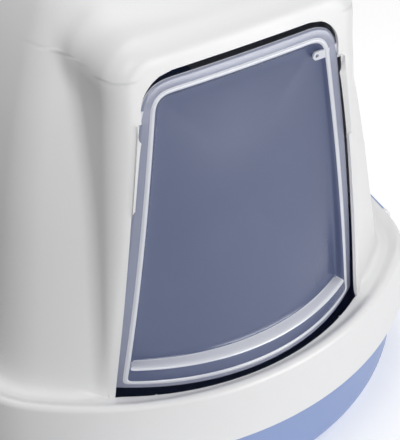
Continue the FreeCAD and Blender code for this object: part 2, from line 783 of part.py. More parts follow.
nodes = {
    "base_pan": make_tub(),
    "hood": make_hood(),
    "door_flap": make_flap(),
    "flap_pivot_left": make_flap_pivot(-1, "left"),
    "flap_pivot_right": make_flap_pivot(1, "right"),
    "carry_handle": make_handle(),
    "handle_pin_left": make_handle_pin(-1, "left"),
    "handle_pin_right": make_handle_pin(1, "right"),
    "filter_cover": make_vent_cover(),
    "filter_frame": make_filter_frame(),
    "carbon_filter": make_filter_pad(),
}
for word, frame in latch_frames():
    nodes["latch_" + word] = make_latch(word, frame)
    nodes["latch_pin_" + word] = make_latch_pin(word, frame)

doc.recompute()

for feature in doc.Objects:
    if {"Invalid", "Error"} & set(feature.State):
        raise SystemExit("%s failed: %s" % (feature.Name, feature.State))

os.makedirs("parts", exist_ok=True)
for name, feature in nodes.items():
    shape = feature.Shape
    if shape.isNull() or not shape.isValid():
        raise SystemExit("%s has no valid shape" % name)
    feature.Label = name
    shape.exportStep("parts/%s.step" % name)
    box = shape.BoundBox
    print("%-22s solids %d volume %8.1f cm3  x %.1f..%.1f y %.1f..%.1f z %.1f..%.1f" % (
        name, len(shape.Solids), shape.Volume / 1000, box.XMin, box.XMax, box.YMin, box.YMax,
        box.ZMin, box.ZMax))
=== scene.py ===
"""Looks of the hooded cat litter box: one moulded hood, a see-through flap, a blue tub, latches,
handle and vent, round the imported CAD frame. Sizes are millimetres in the constants and in the
mesh functions, and metres in Blender.
"""
import json
import math

import bmesh
import bpy
import numpy as np
from mathutils import Matrix, Vector


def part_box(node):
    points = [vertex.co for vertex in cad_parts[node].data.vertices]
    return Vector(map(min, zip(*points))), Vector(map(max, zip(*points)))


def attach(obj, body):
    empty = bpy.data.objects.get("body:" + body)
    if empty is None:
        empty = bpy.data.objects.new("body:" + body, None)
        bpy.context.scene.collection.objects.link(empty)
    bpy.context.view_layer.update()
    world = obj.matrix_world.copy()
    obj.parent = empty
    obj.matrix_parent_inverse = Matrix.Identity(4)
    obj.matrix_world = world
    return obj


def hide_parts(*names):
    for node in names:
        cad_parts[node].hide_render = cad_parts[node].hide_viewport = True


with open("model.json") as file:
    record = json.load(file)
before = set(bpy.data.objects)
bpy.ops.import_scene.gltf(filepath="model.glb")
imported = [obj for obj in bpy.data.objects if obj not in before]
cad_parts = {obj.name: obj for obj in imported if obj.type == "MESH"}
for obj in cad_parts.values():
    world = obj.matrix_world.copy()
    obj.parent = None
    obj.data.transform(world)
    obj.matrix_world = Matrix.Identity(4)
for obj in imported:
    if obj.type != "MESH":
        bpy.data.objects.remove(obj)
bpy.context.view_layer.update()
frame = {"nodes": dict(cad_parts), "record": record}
MM = 0.001

# ---------------------------------------------------------------- driving dimensions (mm)

# plan outline at the crest of the flange: front, corner and side arcs, mirrored both ways
HALF_WIDTH, HALF_LENGTH = 195.0, 270.0
FRONT_RADIUS, CORNER_RADIUS, SIDE_RADIUS = 238.0, 70.0, 1140.0
FLANGE_WIDTH, CORNER_KEEP = 19.0, 0.35
SHELL = 2.4
CREST, GUTTER, SKIRT_BOTTOM, SKIRT_FLARE = 108.0, 104.0, 62.0, 4.5
# round upper edge of the skirt, how far its foot flares out, and where the gutter begins
CREST_ROUND, CREST_OVERHANG, CREST_INSET = 4.5, 0.8, 3.0
DECK, DECK_CENTRE = 400.0, -20.0
# how far the dome leans in from the plan outline, as (inset, level)
DOME = [(19, 104), (25.8, 150), (33.2, 200), (41.8, 250), (53.9, 300), (67.6, 340), (81, 369),
        (91, 384), (104, 394), (119, 399), (134, DECK)]
# doorway's face: bowed at its foot, straight at its top
FACE_RADIUS = 187.0
FACE_LOW, FACE_TOP = 98.0, 376.0
FACE_LOW_FRONT, FACE_TOP_FRONT = -259.4, -222.0
FACE_HALF = 125.0
# raised surround, as (level, half width), and its upper edge
SURROUND = [(104, 110.8), (231, 102.6), (327, 97.4), (345, 97.2)]
SURROUND_TOP, SURROUND_CORNER, SURROUND_BACK = 375.0, 30.0, 52.0
# round edge and valley, as (radius low down, how much it grows, level where it starts, rise)
SURROUND_EDGE, SURROUND_VALLEY = (3.0, 12.0, 110, 230), (6.0, 16.0, 325, 45)
SURROUND_BACK_ROUND = 6.0
# doorway
SILL, DOOR_TOP, DOOR_CORNER = 104.0, 353.3, 24.0
DOOR = [(104, 104.6), (320, 80.8), (321.5, 77.2), (353.3, 77.2)]
DOOR_STEP = (320.0, 321.5)
DOOR_FOOT_HALF = DOOR[0][1]
HINGE_LEVEL, HINGE_DEPTH = 325.0, -220.5
BEARING_INNER, BEARING_OUTER = 78.0, 85.0
# flap
FLAP_RECESS, FLAP_SHEET = 2.5, 1.5
FLAP_LOW, FLAP_TOP = 107.8, 346.0
# latch and handle pivots
LATCH_PIVOT, LATCH_ALONG, LATCH_EAR, PIN_RADIUS = (92.0, 6.6), 130.0, (14.0, 18.0), 2.0
HANDLE_PIVOT, HANDLE_EAR = (-8.0, 409.0), (52.5, 58.5)
# vent well: its outer step, its lip under the cover, its inner wall, and its depth below the deck
WELL_OUT, WELL_LIP, WELL_IN, WELL_DEPTH, WELL_UNDER_DECK = 3.5, 0.4, -4, 13.2, 1.4

# ---------------------------------------------------------------- small helpers


def smoothstep(t):
    """0 to 1 with a level start and end."""
    t = np.clip(t, 0.0, 1.0)
    return t * t * (3 - 2 * t)


def round_max(a, b, radius):
    """The larger of two distances, with a round edge where they are equal."""
    both = np.hypot(np.maximum(a + radius, 0), np.maximum(b + radius, 0))
    return np.minimum(np.maximum(a, b), -radius) + both


def round_min(a, b, radius):
    """The smaller of two distances, with a round valley where they are equal."""
    both = np.hypot(np.maximum(radius - a, 0), np.maximum(radius - b, 0))
    return np.maximum(np.minimum(a, b), radius) - both


def smooth_curve(points, count=400):
    """Evenly spread points of a Catmull-Rom curve through 2-D points."""
    pts = np.array(points, float)
    pts = np.vstack([2 * pts[0] - pts[1], pts, 2 * pts[-1] - pts[-2]])
    spans = len(pts) - 3
    t = np.linspace(0, spans - 1e-9, count)
    i = t.astype(int)
    u = (t - i)[:, None]
    a, b, c, d = pts[i], pts[i + 1], pts[i + 2], pts[i + 3]
    return 0.5 * (2 * b + (c - a) * u + (2 * a - 5 * b + 4 * c - d) * u ** 2
                  + (3 * b - a - 3 * c + d) * u ** 3)


def mesh_object(name, verts, faces, materials, smooth=True, face_slots=None):
    """A mesh object from millimetre points."""
    data = bpy.data.meshes.new(name)
    data.from_pydata([tuple(v) for v in (np.asarray(verts, float) * MM).tolist()], [], faces)
    data.update()
    obj = bpy.data.objects.new(name, data)
    bpy.context.scene.collection.objects.link(obj)
    for material in materials:
        data.materials.append(material)
    if smooth:
        data.polygons.foreach_set("use_smooth", [True] * len(data.polygons))
    if face_slots is not None:
        data.polygons.foreach_set("material_index", face_slots)
    return obj


def grid_faces(rows, columns, closed=True, keep=None):
    """Quads between rows of points that run round; keep(row, column) leaves quads out."""
    faces = []
    span = columns if closed else columns - 1
    for r in range(rows - 1):
        for c in range(span):
            if keep is not None and not keep(r, c):
                continue
            n = (c + 1) % columns
            faces.append((r * columns + c, r * columns + n, (r + 1) * columns + n, (r + 1) * columns + c))
    return faces


def apply_modifiers(obj):
    """Bakes an object's modifiers into its mesh."""
    depsgraph = bpy.context.evaluated_depsgraph_get()
    evaluated = obj.evaluated_get(depsgraph)
    mesh = bpy.data.meshes.new_from_object(evaluated, depsgraph=depsgraph)
    obj.modifiers.clear()
    old = obj.data
    obj.data = mesh
    mesh.name = obj.name
    bpy.data.meshes.remove(old)
    return obj


def add_solidify(obj, thickness, offset=-1):
    """Wall thickness in millimetres, inward by default."""
    mod = obj.modifiers.new("wall", "SOLIDIFY")
    mod.thickness = thickness * MM
    mod.offset = offset
    return mod


def add_bevel(obj, width, segments=3, angle=40):
    """Round edges, in millimetres, where faces meet at more than an angle in degrees."""
    mod = obj.modifiers.new("edge", "BEVEL")
    mod.width = width * MM
    mod.segments = segments
    mod.limit_method = "ANGLE"
    mod.angle_limit = math.radians(angle)
    mod.harden_normals = True
    return mod


# ---------------------------------------------------------------- materials


def new_material(name):
    """A node material, its tree, its shader and its coordinates."""
    material = bpy.data.materials.new(name)
    material.use_nodes = True
    tree = material.node_tree
    shader = tree.nodes["Principled BSDF"]
    coords = tree.nodes.new("ShaderNodeTexCoord")
    return material, tree, shader, coords


def noise(tree, coords, scale, detail=3.0):
    """Noise in the object's own coordinates."""
    node = tree.nodes.new("ShaderNodeTexNoise")
    node.inputs["Scale"].default_value = scale
    node.inputs["Detail"].default_value = detail
    tree.links.new(coords.outputs["Object"], node.inputs["Vector"])
    return node.outputs["Fac"]


def colour_between(tree, factor, low, high, positions=(0.35, 0.65)):
    """A colour that runs from low to high with the factor."""
    ramp = tree.nodes.new("ShaderNodeValToRGB")
    ramp.color_ramp.elements[0].position = positions[0]
    ramp.color_ramp.elements[1].position = positions[1]
    ramp.color_ramp.elements[0].color = (*low, 1)
    ramp.color_ramp.elements[1].color = (*high, 1)
    tree.links.new(factor, ramp.inputs["Fac"])
    return ramp.outputs["Color"]


def value_between(tree, factor, low, high):
    """A value that runs from low to high with the factor."""
    node = tree.nodes.new("ShaderNodeMapRange")
    node.inputs["To Min"].default_value = low
    node.inputs["To Max"].default_value = high
    tree.links.new(factor, node.inputs["Value"])
    return node.outputs["Result"]


def add_bump(tree, shader, height, strength, distance):
    """Bump on a shader from a height."""
    bump = tree.nodes.new("ShaderNodeBump")
    bump.inputs["Strength"].default_value = strength
    bump.inputs["Distance"].default_value = distance
    tree.links.new(height, bump.inputs["Height"])
    tree.links.new(bump.outputs["Normal"], shader.inputs["Normal"])


def moulded_plastic(name, colour, shade, roughness, grain=900.0, coat=0.0):
    """Satin injection-moulded plastic: faint cloudy colour, fine grain and uneven gloss."""
    material, tree, shader, coords = new_material(name)
    cloud = noise(tree, coords, 6.0, 2.0)
    tree.links.new(colour_between(tree, cloud, shade, colour), shader.inputs["Base Color"])
    fine = noise(tree, coords, grain, 2.0)
    mottled = noise(tree, coords, 35.0, 4.0)
    tree.links.new(value_between(tree, mottled, roughness - 0.05, roughness + 0.06),
                   shader.inputs["Roughness"])
    add_bump(tree, shader, fine, 0.06, 0.0004)
    shader.inputs["Coat Weight"].default_value = coat
    shader.inputs["Coat Roughness"].default_value = 0.25
    shader.inputs["Specular IOR Level"].default_value = 0.45
    return material


def see_through_plastic(name, colour, shade, alpha, roughness):
    """Tinted polycarbonate that shows what is behind it."""
    material, tree, shader, coords = new_material(name)
    cloud = noise(tree, coords, 9.0, 2.0)
    tree.links.new(colour_between(tree, cloud, shade, colour), shader.inputs["Base Color"])
    shader.inputs["Alpha"].default_value = alpha
    wavy = noise(tree, coords, 14.0, 1.0)
    tree.links.new(value_between(tree, wavy, roughness - 0.03, roughness + 0.05),
                   shader.inputs["Roughness"])
    add_bump(tree, shader, wavy, 0.05, 0.002)
    shader.inputs["Specular IOR Level"].default_value = 0.6
    return material


def felt(name, colour, shade):
    """Charcoal felt: matted fibres and a little sheen."""
    material, tree, shader, coords = new_material(name)
    fibres = noise(tree, coords, 420.0, 8.0)
    tree.links.new(colour_between(tree, fibres, shade, colour), shader.inputs["Base Color"])
    shader.inputs["Roughness"].default_value = 0.95
    shader.inputs["Sheen Weight"].default_value = 0.35
    add_bump(tree, shader, fibres, 0.7, 0.0012)
    return material


WHITE = moulded_plastic("white_plastic", (0.86, 0.86, 0.865), (0.845, 0.845, 0.852), 0.42)
BLUE = moulded_plastic("blue_plastic", (0.27, 0.36, 0.63), (0.255, 0.345, 0.615), 0.40)
GREY = moulded_plastic("grey_plastic", (0.62, 0.63, 0.66), (0.60, 0.61, 0.64), 0.45)
SMOKE = see_through_plastic("smoke_plastic", (0.17, 0.205, 0.36), (0.155, 0.19, 0.34), 0.66, 0.16)
# near-white smoke for the flap's edge, bead and finger ledge: a painted highlight where light catches them
SMOKE_PAINTED_HIGHLIGHT = see_through_plastic("smoke_painted_highlight", (0.86, 0.88, 0.94), (0.82, 0.84, 0.92), 0.9, 0.25)
# lighter smoke for the band round the flap's border: a painted reflection of the bright surroundings
SMOKE_PAINTED_REFLECTION = see_through_plastic("smoke_painted_reflection", (0.40, 0.43, 0.57), (0.37, 0.40, 0.54), 0.72, 0.2)
FELT = felt("carbon_felt", (0.055, 0.055, 0.06), (0.02, 0.02, 0.022))

# ---------------------------------------------------------------- plan outline and its family


def oval_arcs(inset):
    """Radii of the front, side and corner arcs of the plan outline drawn inward by inset, and the
    corner arc's centre in the quadrant with x over 0 and y under 0."""
    inset = np.asarray(inset, float)
    front, side = FRONT_RADIUS - inset, SIDE_RADIUS - inset
    corner = (CORNER_RADIUS - np.minimum(inset, FLANGE_WIDTH)
              - CORNER_KEEP * np.maximum(inset - FLANGE_WIDTH, 0))
    gap_x, gap_y = HALF_WIDTH - SIDE_RADIUS, HALF_LENGTH - FRONT_RADIUS
    gap = math.hypot(gap_x, gap_y)
    to_front, to_side = front - corner, side - corner
    along = (to_front ** 2 - to_side ** 2 + gap ** 2) / (2 * gap)
    across = np.sqrt(to_front ** 2 - along ** 2)
    x = (gap_x * along - gap_y * across) / gap
    y = FRONT_RADIUS - HALF_LENGTH + (gap_y * along + gap_x * across) / gap
    return front, side, corner, x, y


def plan_distance(x, y, inset):
    """Signed distance in plan from the outline drawn inward by inset, negative inside."""
    front, side, corner, cx, cy = oval_arcs(inset)
    qx, qy = np.abs(x), -np.abs(y)
    front_y, side_x = FRONT_RADIUS - HALF_LENGTH, HALF_WIDTH - SIDE_RADIUS
    to_front = np.hypot(qx, qy - front_y) - front
    to_side = np.hypot(qx - side_x, qy) - side
    to_corner = np.hypot(qx - cx, qy - cy) - corner
    past_front = cx * (qy - cy) - (cy - front_y) * (qx - cx) > 0
    before_side = (qx - cx) * cy - (qy - cy) * (cx - side_x) > 0
    return np.where(past_front & before_side, to_corner, np.maximum(to_front, to_side))


def oval_points(inset, count):
    """Points of one quarter of the outline, from the front middle to the side middle."""
    front, side, corner, cx, cy = (float(v) for v in oval_arcs(inset))
    front_y, side_x = FRONT_RADIUS - HALF_LENGTH, HALF_WIDTH - SIDE_RADIUS
    a1 = math.atan2(cy - front_y, cx)
    a2 = math.atan2(cy, cx - side_x)
    arcs = [(0, front_y, front, -math.pi / 2, a1), (cx, cy, corner, a1, a2), (side_x, 0, side, a2, 0)]
    lengths = [r * (b - a) for _, _, r, a, b in arcs]
    s = np.linspace(0, sum(lengths), count)
    x, y = np.zeros(count), np.zeros(count)
    start = 0.0
    for (ox, oy, r, a, b), length in zip(arcs, lengths):
        here = (s >= start - 1e-9)
        angle = a + (s[here] - start) / r
        x[here], y[here] = ox + r * np.cos(angle), oy + r * np.sin(angle)
        start += length
    return x, y


def whole_oval(inset, quarter):
    """The closed outline, 4 * (quarter - 1) points, anticlockwise from the front middle."""
    x, y = oval_points(inset, quarter)
    right = np.concatenate([x, x[-2::-1]]), np.concatenate([y, -y[-2::-1]])
    return (np.concatenate([right[0], -right[0][-2:0:-1]]),
            np.concatenate([right[1], right[1][-2:0:-1]]))


# ---------------------------------------------------------------- hood shape

dome_curve = smooth_curve(DOME)
dome_level = np.maximum.accumulate(dome_curve[:, 1] + np.arange(len(dome_curve)) * 1e-7)
dome_slope = np.clip(np.gradient(dome_curve[:, 0], dome_level), 0, 4)


def dome_distance(x, y, z):
    """Distance from the leaning dome under its flat deck."""
    inset = np.interp(z, dome_level, dome_curve[:, 0])
    slope = np.interp(z, dome_level, dome_slope)
    return np.maximum(plan_distance(x, y, inset) / np.sqrt(1 + slope ** 2), z - DECK)


def face_front(x, z):
    """The doorway face's y."""
    rise = (z - FACE_LOW) / (FACE_TOP - FACE_LOW)
    x = np.clip(x, -FACE_HALF, FACE_HALF)
    foot_y = FACE_LOW_FRONT + FACE_RADIUS - np.sqrt(FACE_RADIUS ** 2 - x ** 2)
    return foot_y * (1 - rise) + FACE_TOP_FRONT * rise


def growing_radius(z, low, growth, start, rise):
    """A radius that grows with the level."""
    return low + growth * smoothstep((z - start) / rise)


def surround_half(z):
    """Half width of the raised surround at a level."""
    levels, halves = zip(*SURROUND)
    return np.interp(z, levels, halves)


def surround_distance(x, y, z):
    """Distance from the raised surround, whose edges grow rounder towards the top."""
    sides = np.abs(x) - surround_half(z)
    outline = round_max(sides, z - SURROUND_TOP, SURROUND_CORNER)
    face = face_front(x, z)
    front = round_max(outline, face - y, growing_radius(z, *SURROUND_EDGE))
    return round_max(front, y - (face + SURROUND_BACK), SURROUND_BACK_ROUND)


def hood_distance(x, y, z):
    """Distance from the dome and the surround together, with a valley between them."""
    valley = growing_radius(z, *SURROUND_VALLEY)
    return round_min(dome_distance(x, y, z), surround_distance(x, y, z), valley)


def door_half(z):
    """Half width of the doorway at a level, its round upper corners included."""
    levels, halves = zip(*DOOR)
    half = np.interp(z, levels, halves)
    up = np.clip(z - (DOOR_TOP - DOOR_CORNER), 0, DOOR_CORNER)
    return half - (DOOR_CORNER - np.sqrt(DOOR_CORNER ** 2 - up ** 2))


def cast(origin, direction, reach=260.0):
    """Where rays that start inside the hood leave it."""
    low, high = np.zeros(len(origin)), np.full(len(origin), reach)
    for _ in range(34):
        middle = (low + high) / 2
        p = origin + direction * middle[:, None]
        inside = hood_distance(p[:, 0], p[:, 1], p[:, 2]) < 0
        low = np.where(inside, middle, low)
        high = np.where(inside, high, middle)
    return origin + direction * ((low + high) / 2)[:, None]


DOOR_COLUMNS, NEAR_COLUMNS, FAR_COLUMNS = 22, 70, 84
NEAR_LENGTH, PIVOT_BACK, REAR = 112.0, 40.0, 150.0
SHOULDER = 354.0            # above this level the rays fan upward
RAYS = (30, 240, 150, 70, 60)   # rays along the jamb, front fan, side, rear fan and rear
FOOT_LIFT = 6.0


def ring_rays(level_share, tilt, inward):
    """Origins and directions for half a ring of the hood, from the doorway's edge to the rear, and
    before them those of the doorway's own columns."""
    jamb, fan, side, rear_fan, rear = RAYS
    count = sum(RAYS)
    along = np.arange(count)
    foot = GUTTER + FOOT_LIFT * smoothstep((along - jamb - 26) / (0.35 * fan))
    z = foot + (SHOULDER - foot) * level_share
    corner_x = np.interp(z, [104, 325], [106.0, 78.4])
    x, y, turn = np.zeros(count), np.zeros(count), np.zeros(count)
    t = along[:jamb] / jamb
    x[:jamb] = door_half(z[:jamb]) * (1 - t) + corner_x[:jamb] * t
    turn[:jamb] = -math.pi / 2
    a, b = jamb, jamb + fan
    x[a:b] = corner_x[a:b]
    turn[a:b] = -math.pi / 2 * (1 - np.linspace(0, 1, fan) ** 1.2)
    y[:b] = face_front(corner_x[:b], z[:b]) + PIVOT_BACK
    a, b = b, b + side
    x[a:b] = corner_x[a:b]
    y[a:b] = np.linspace(y[a - 1], REAR, side)
    a, b = b, b + rear_fan
    x[a:b], y[a:b] = corner_x[a:b], REAR
    turn[a:b] = np.linspace(0, math.pi / 2, rear_fan)
    a, b = b, count
    x[a:b] = corner_x[a:b] * np.linspace(1, 0, rear)
    y[a:b], turn[a:b] = REAR, math.pi / 2
    door_z = GUTTER + (SHOULDER - GUTTER) * level_share
    door_x = door_half(min(door_z, DOOR_TOP)) * np.linspace(0, 1, DOOR_COLUMNS + 1)[:-1]
    x = np.concatenate([door_x, x])
    y = np.concatenate([face_front(door_x, door_z) + PIVOT_BACK, y])
    z = np.concatenate([np.full(DOOR_COLUMNS, door_z), z])
    turn = np.concatenate([np.full(DOOR_COLUMNS, -math.pi / 2), turn])
    x, y = x * inward, DECK_CENTRE + (y - DECK_CENTRE) * inward
    origin = np.stack([x, y, z], 1)
    flat = math.cos(tilt)
    direction = np.stack([np.cos(turn) * flat, np.sin(turn) * flat, np.full(len(x), math.sin(tilt))], 1)
    return origin, direction


def respaced(points):
    """The stretch from the doorway's edge to the rear, spread evenly near the surround and more
    widely beyond it."""
    steps = np.linalg.norm(np.diff(points, axis=0), axis=1)
    s = np.concatenate([[0], np.cumsum(steps)])
    near = min(NEAR_LENGTH, 0.32 * s[-1])
    wanted = np.concatenate([np.linspace(0, near, NEAR_COLUMNS + 1)[:-1],
                             near + (s[-1] - near) * np.linspace(0, 1, FAR_COLUMNS + 1)])
    return np.stack([np.interp(wanted, s, points[:, i]) for i in range(3)], 1)


def hood_rings():
    """The half rings of the hood from its foot to the middle of the deck, as one array."""
    door_share = (DOOR_TOP - GUTTER) / (SHOULDER - GUTTER)
    step_low, step_high = ((level - GUTTER) / (SHOULDER - GUTTER) for level in DOOR_STEP)
    walls = np.concatenate([np.linspace(0, step_low, 56), np.linspace(step_high, door_share, 17), [1.0]])
    plans = [(share, 0.0, 1.0) for share in walls]
    plans += [(1.0, tilt, 1.0) for tilt in np.linspace(0, math.pi / 2, 30)[1:]]
    plans += [(1.0, math.pi / 2, inward) for inward in (1 - np.linspace(0, 1, 44) ** 1.25)[1:-1]]
    rays = [ring_rays(*plan) for plan in plans]
    origin = np.concatenate([o for o, _ in rays])
    direction = np.concatenate([d for _, d in rays])
    hits = cast(origin, direction).reshape(len(plans), -1, 3)
    door_row = len(walls) - 2
    rings = [np.vstack([ring[:DOOR_COLUMNS], respaced(ring[DOOR_COLUMNS:])]) for ring in hits]
    return np.array(rings), door_row


def nearest_on_outline(points):
    """The nearest point of the crest outline to each plan point, and the way out there."""
    x, y = oval_points(0, 1500)
    x, y = np.concatenate([x, x[::-1]]), np.concatenate([y, -y[::-1]])
    found = []
    for px, py in points:
        found.append(int(np.argmin((x - px) ** 2 + (y - py) ** 2)))
    tangent = np.stack([np.gradient(x), np.gradient(y)], 1)
    tangent[len(x) // 2 - 1:len(x) // 2 + 1] = (0, 1)
    tangent /= np.linalg.norm(tangent, axis=1)[:, None]
    found = np.array(found)
    outward = np.stack([tangent[found, 1], -tangent[found, 0]], 1)
    return np.stack([x[found], y[found]], 1), outward


def flange_rings(foot):
    """Half rings from the skirt's lower edge up over the crest and in to the hood's foot."""
    on_line, outward = nearest_on_outline(foot[:, :2])
    width = np.linalg.norm(on_line - foot[:, :2], axis=1)
    lift = np.maximum(foot[:, 2] - GUTTER, 0)
    rings = []

    def ring(inset, level):
        plan = on_line - outward * np.asarray(inset)[..., None] * np.ones((len(foot), 1))
        return np.column_stack([plan, np.full(len(foot), level) if np.isscalar(level) else level])

    for t in np.linspace(0, 1, 22):
        level = SKIRT_BOTTOM + (CREST - CREST_ROUND - SKIRT_BOTTOM) * t
        rings.append(ring(-SKIRT_FLARE + (SKIRT_FLARE - CREST_OVERHANG) * t ** 1.15, level))
    for angle in np.radians([12, 26, 40, 54, 68, 82]):
        rings.append(ring(-CREST_OVERHANG + 3.4 * (1 - math.cos(angle)) + 0.3 * math.sin(angle),
                          CREST - CREST_ROUND + 4.4 * math.sin(angle)))
    floor_inset = np.maximum(width - lift, CREST_INSET + 0.6)
    for t in np.linspace(0, 1, 12):
        inset = CREST_INSET + (floor_inset - CREST_INSET) * t
        fall = smoothstep((inset - CREST_INSET) / 8.0)
        rings.append(ring(inset, CREST - 0.05 - (CREST - 0.05 - GUTTER) * fall))
    inward = (foot[:, :2] - on_line) / np.maximum(width, 1e-6)[:, None]
    for angle in np.radians([18, 36, 54, 72]):
        inset = width - lift * (1 - math.sin(angle))
        level = GUTTER + lift * (1 - math.cos(angle))
        rings.append(np.column_stack([on_line + inward * inset[:, None], level]))
    return np.array(rings)


def mirrored(half_rings):
    """Closed rings from half rings that run from the front middle to the rear middle."""
    other = half_rings[:, -2:0:-1] * np.array([-1, 1, 1])
    return np.concatenate([half_rings, other], axis=1)


def build_hood():
    """The hood's outer skin: skirt, flange, dome and surround, open at the doorway."""
    upper, door_row = hood_rings()
    foot = upper[0].copy()
    sill_x = np.linspace(0, 1, DOOR_COLUMNS + 1)[:-1] * DOOR_FOOT_HALF
    foot[:DOOR_COLUMNS] = np.column_stack([sill_x, face_front(sill_x, SILL), np.full(DOOR_COLUMNS, SILL)])
    lower = flange_rings(foot)
    rings = mirrored(np.concatenate([lower, foot[None], upper[1:]]))
    rows, columns = rings.shape[:2]
    first = len(lower)
    opened = range(first, first + door_row)

    def keep(row, column):
        in_door = column < DOOR_COLUMNS or column >= columns - DOOR_COLUMNS
        return not (row in opened and in_door)

    verts = rings.reshape(-1, 3).tolist()
    faces = grid_faces(rows, columns, keep=keep)
    verts.append([0.0, DECK_CENTRE, DECK])
    top = (rows - 1) * columns
    faces += [(top + c, top + (c + 1) % columns, len(verts) - 1) for c in range(columns)]
    return mesh_object("hood_shell", verts, faces, [WHITE])


def cut_vent_seat(hood, margin=0.4):
    """Opens the deck for the vent cover."""
    low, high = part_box("filter_cover")
    x, y0, y1 = high.x + margin * MM, low.y - margin * MM, high.y + margin * MM
    deck = (DECK - 2) * MM
    mesh = bmesh.new()
    mesh.from_mesh(hood.data)
    for point, normal in (((x, 0, 0), (1, 0, 0)), ((-x, 0, 0), (-1, 0, 0)),
                          ((0, y0, 0), (0, -1, 0)), ((0, y1, 0), (0, 1, 0))):
        near = [f for f in mesh.faces if f.calc_center_median().z > deck]
        parts = set(near) | {e for f in near for e in f.edges} | {v for f in near for v in f.verts}
        bmesh.ops.bisect_plane(mesh, geom=list(parts), plane_co=point, plane_no=normal)
    inside = []
    for face in mesh.faces:
        middle = face.calc_center_median()
        if middle.z > deck and abs(middle.x) < x and y0 < middle.y < y1:
            inside.append(face)
    bmesh.ops.delete(mesh, geom=inside, context="FACES")
    mesh.to_mesh(hood.data)
    mesh.free()


def finish_hood(hood):
    """The vent's seat, the wall thickness and the small round edges."""
    cut_vent_seat(hood)
    add_solidify(hood, SHELL)
    add_bevel(hood, 0.5)
    return apply_modifiers(hood)


# ---------------------------------------------------------------- parts moulded on the hood


def arc_points(x, y, radius, start, end, count=9):
    """Points of an arc, with its ends in degrees."""
    angles = np.radians(np.linspace(start, end, count))
    return [(x + radius * math.cos(a), y + radius * math.sin(a)) for a in angles]


def rounded_rectangle(half_x, half_y, radius, count=5, middle=(0.0, 0.0)):
    """Points of a rectangle with round corners."""
    points = []
    for turn, (sx, sy) in zip((0, 90, 180, 270), ((1, 1), (-1, 1), (-1, -1), (1, -1))):
        points += arc_points(middle[0] + sx * (half_x - radius), middle[1] + sy * (half_y - radius),
                             radius, turn, turn + 90, count)
    return points


def plate(name, outline, holes, thickness, place, material, edge=0.45):
    """A flat part with holes: outlines in its own XY, thickened along its Z, then put in place."""
    mesh = bmesh.new()
    for loop in [outline] + holes:
        verts = [mesh.verts.new((px * MM, py * MM, 0)) for px, py in loop]
        for one, other in zip(verts, verts[1:] + verts[:1]):
            mesh.edges.new((one, other))
    bmesh.ops.triangle_fill(mesh, use_beauty=True, use_dissolve=False, edges=mesh.edges[:])
    grown = bmesh.ops.extrude_face_region(mesh, geom=mesh.faces[:])["geom"]
    moved = [item for item in grown if isinstance(item, bmesh.types.BMVert)]
    bmesh.ops.translate(mesh, verts=moved, vec=(0, 0, thickness * MM))
    bmesh.ops.recalc_face_normals(mesh, faces=mesh.faces[:])
    data = bpy.data.meshes.new(name)
    mesh.to_mesh(data)
    mesh.free()
    data.transform(place)
    data.materials.append(material)
    data.polygons.foreach_set("use_smooth", [True] * len(data.polygons))
    obj = bpy.data.objects.new(name, data)
    bpy.context.scene.collection.objects.link(obj)
    add_bevel(obj, edge)
    return apply_modifiers(obj)


ALONG_X = Matrix(((0, 0, 1, 0), (1, 0, 0, 0), (0, 1, 0, 0), (0, 0, 0, 1)))


def build_latch_ears():
    """Two ears for each latch's pin, on the skirt."""
    level, out = LATCH_PIVOT
    outline = ([(0.4 - out, -6.5), (-3, -5.6), (0.2, -5)] + arc_points(0, 0, 5, -80, 80, 13)
               + [(0.2, 5), (-3, 5.6), (0.4 - out, 6.5)])
    hole = arc_points(0, 0, PIN_RADIUS, 0, 345, 24)
    tilt = math.asin(LATCH_ALONG / SIDE_RADIUS)
    made = []
    for side in (-1, 1):
        for end in (-1, 1):
            turn = end * tilt if side > 0 else math.pi - end * tilt
            x = side * (HALF_WIDTH - SIDE_RADIUS) + (SIDE_RADIUS + out) * math.cos(turn)
            y = (SIDE_RADIUS + out) * math.sin(turn)
            base = Matrix.Translation((x * MM, y * MM, level * MM)) @ Matrix.Rotation(turn, 4, "Z")
            for start in (-LATCH_EAR[0], LATCH_EAR[1]):
                place = base @ Matrix.Translation((0, start * MM, 0)) @ Matrix.Rotation(math.pi / 2, 4, "X")
                made.append(plate("latch_ear", outline, [hole], LATCH_EAR[1] - LATCH_EAR[0], place, WHITE))
    return made


def build_handle_ears():
    """The two ears on the deck that carry the handle."""
    y, z = HANDLE_PIVOT
    deck = DECK - z
    foot = [(10.3, deck + 0.3), (8.2, deck + 1.6), (7.2, deck + 4)]
    outline = ([(-10.5, DECK - 1.2 - z), (10.5, DECK - 1.2 - z)] + foot + arc_points(0, 0, 7, 0, 180, 19)
               + [(-y_out, level) for y_out, level in foot[::-1]])
    hole = arc_points(0, 0, 3.0, 0, 348, 30)
    made = []
    for start in (-HANDLE_EAR[1], HANDLE_EAR[0]):
        place = Matrix.Translation((start * MM, y * MM, z * MM)) @ ALONG_X
        made.append(plate("handle_ear", outline, [hole], HANDLE_EAR[1] - HANDLE_EAR[0], place, WHITE, 0.7))
    return made


def build_bearings():
    """The blocks behind the doorway's face that the flap's trunnions turn in."""
    front = float(face_front(BEARING_OUTER, HINGE_LEVEL)) + SHELL / 2 - HINGE_DEPTH
    outline = [(front, -7)] + arc_points(2, -4, 3, -90, 0, 6) + arc_points(2, 4, 3, 0, 90, 6) + [(front, 7)]
    hole = arc_points(0, 0, 2.05, 0, 345, 24)
    made = []
    for start in (-BEARING_OUTER, BEARING_INNER):
        place = Matrix.Translation((start * MM, HINGE_DEPTH * MM, HINGE_LEVEL * MM)) @ ALONG_X
        made.append(plate("flap_bearing", outline, [hole], BEARING_OUTER - BEARING_INNER, place, WHITE, 0.3))
    return made


